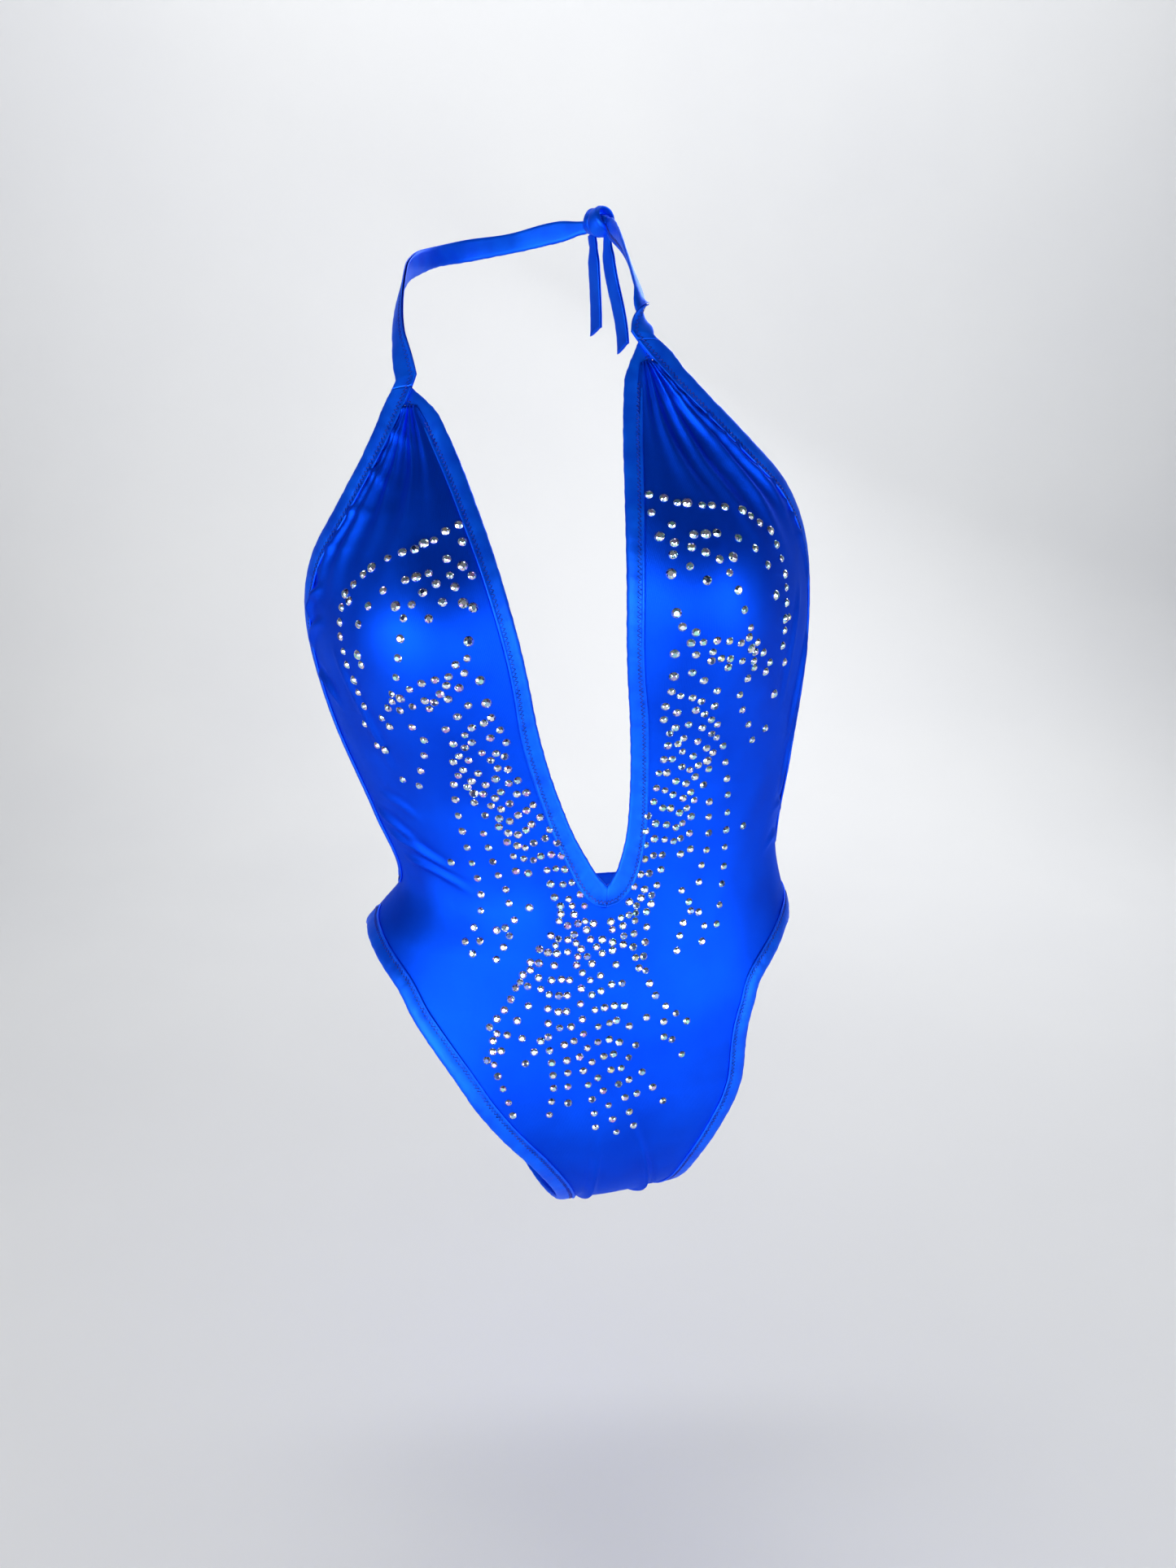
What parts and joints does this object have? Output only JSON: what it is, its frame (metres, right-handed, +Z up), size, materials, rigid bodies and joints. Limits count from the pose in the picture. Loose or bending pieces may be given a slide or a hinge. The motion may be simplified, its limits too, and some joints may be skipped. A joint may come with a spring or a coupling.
{
  "type": "gymnastics leotard",
  "caption": "Halter-neck competition leotard with a plunging neckline, an open back, high-cut legs, bound edges, a neck tie and crystal trim.",
  "frame": {"origin": "centre of the wearer's torso at the waist, which is the mount wearer_torso", "axes": "+Z up the wearer's spine, -Y out of the chest, +X towards the wearer's left"},
  "size_m": [0.2835, 0.2312, 0.5927],
  "materials": {
    "royal_satin": "satin-faced stretch fabric",
    "royal_binding": "satin-faced stretch binding",
    "lining": "matte stretch lining",
    "white_elastic": "matte flat elastic",
    "crystal": "cut and foil-backed"
  },
  "bodies": {
    "garment": {"front_panel": "royal_satin", "back_panel": "royal_satin", "gusset_lining": "lining", "back_waist_binding": "royal_binding", "back_waist_elastic": "white_elastic", "cup_lining_left": "lining", "neckline_binding_left": "royal_binding", "side_binding_left": "royal_binding", "neckline_elastic_left": "white_elastic", "side_elastic_left": "white_elastic", "leg_binding_left": "royal_binding", "leg_elastic_left": "white_elastic", "cup_lining_right": "lining", "neckline_binding_right": "royal_binding", "side_binding_right": "royal_binding", "neckline_elastic_right": "white_elastic", "side_elastic_right": "white_elastic", "leg_binding_right": "royal_binding", "leg_elastic_right": "white_elastic", "accent_crystal_left_01": "crystal", "accent_crystal_left_02": "crystal", "accent_crystal_left_03": "crystal", "accent_crystal_left_04": "crystal", "accent_crystal_left_05": "crystal", "accent_crystal_left_06": "crystal", "accent_crystal_left_07": "crystal", "accent_crystal_left_08": "crystal", "accent_crystal_left_09": "crystal", "accent_crystal_left_10": "crystal", "accent_crystal_left_11": "crystal", "accent_crystal_left_12": "crystal", "accent_crystal_left_13": "crystal", "accent_crystal_left_14": "crystal", "accent_crystal_right_01": "crystal", "accent_crystal_right_02": "crystal", "accent_crystal_right_03": "crystal", "accent_crystal_right_04": "crystal", "accent_crystal_right_05": "crystal", "accent_crystal_right_06": "crystal", "accent_crystal_right_07": "crystal", "accent_crystal_right_08": "crystal", "accent_crystal_right_09": "crystal", "accent_crystal_right_10": "crystal", "accent_crystal_right_11": "crystal", "accent_crystal_right_12": "crystal", "accent_crystal_right_13": "crystal", "accent_crystal_right_14": "crystal"},
    "halter": {"halter_strap_left": "royal_binding", "halter_strap_right": "royal_binding", "tie_knot": "royal_binding"},
    "left_tail": {"tie_tail_left": "royal_binding"},
    "right_tail": {"tie_tail_right": "royal_binding"}
  },
  "joints": [
    {"name": "halter_fold", "type": "hinge", "parent": "garment", "child": "halter", "pos_m": [-0.02689, -0.06362, 0.27565], "axis": [0.986, 0.0433, 0.1612], "range_deg": [-45, 135]},
    {"name": "left_tail_swing", "type": "hinge", "parent": "halter", "child": "left_tail", "pos_m": [0.01702, 0.03889, 0.3517], "axis": [0.5736, -0.8192, 0], "range_deg": [-10, 100]},
    {"name": "right_tail_swing", "type": "hinge", "parent": "halter", "child": "right_tail", "pos_m": [0.00928, 0.04994, 0.3517], "axis": [0.5736, -0.8192, 0], "range_deg": [-10, 100]}
  ]
}
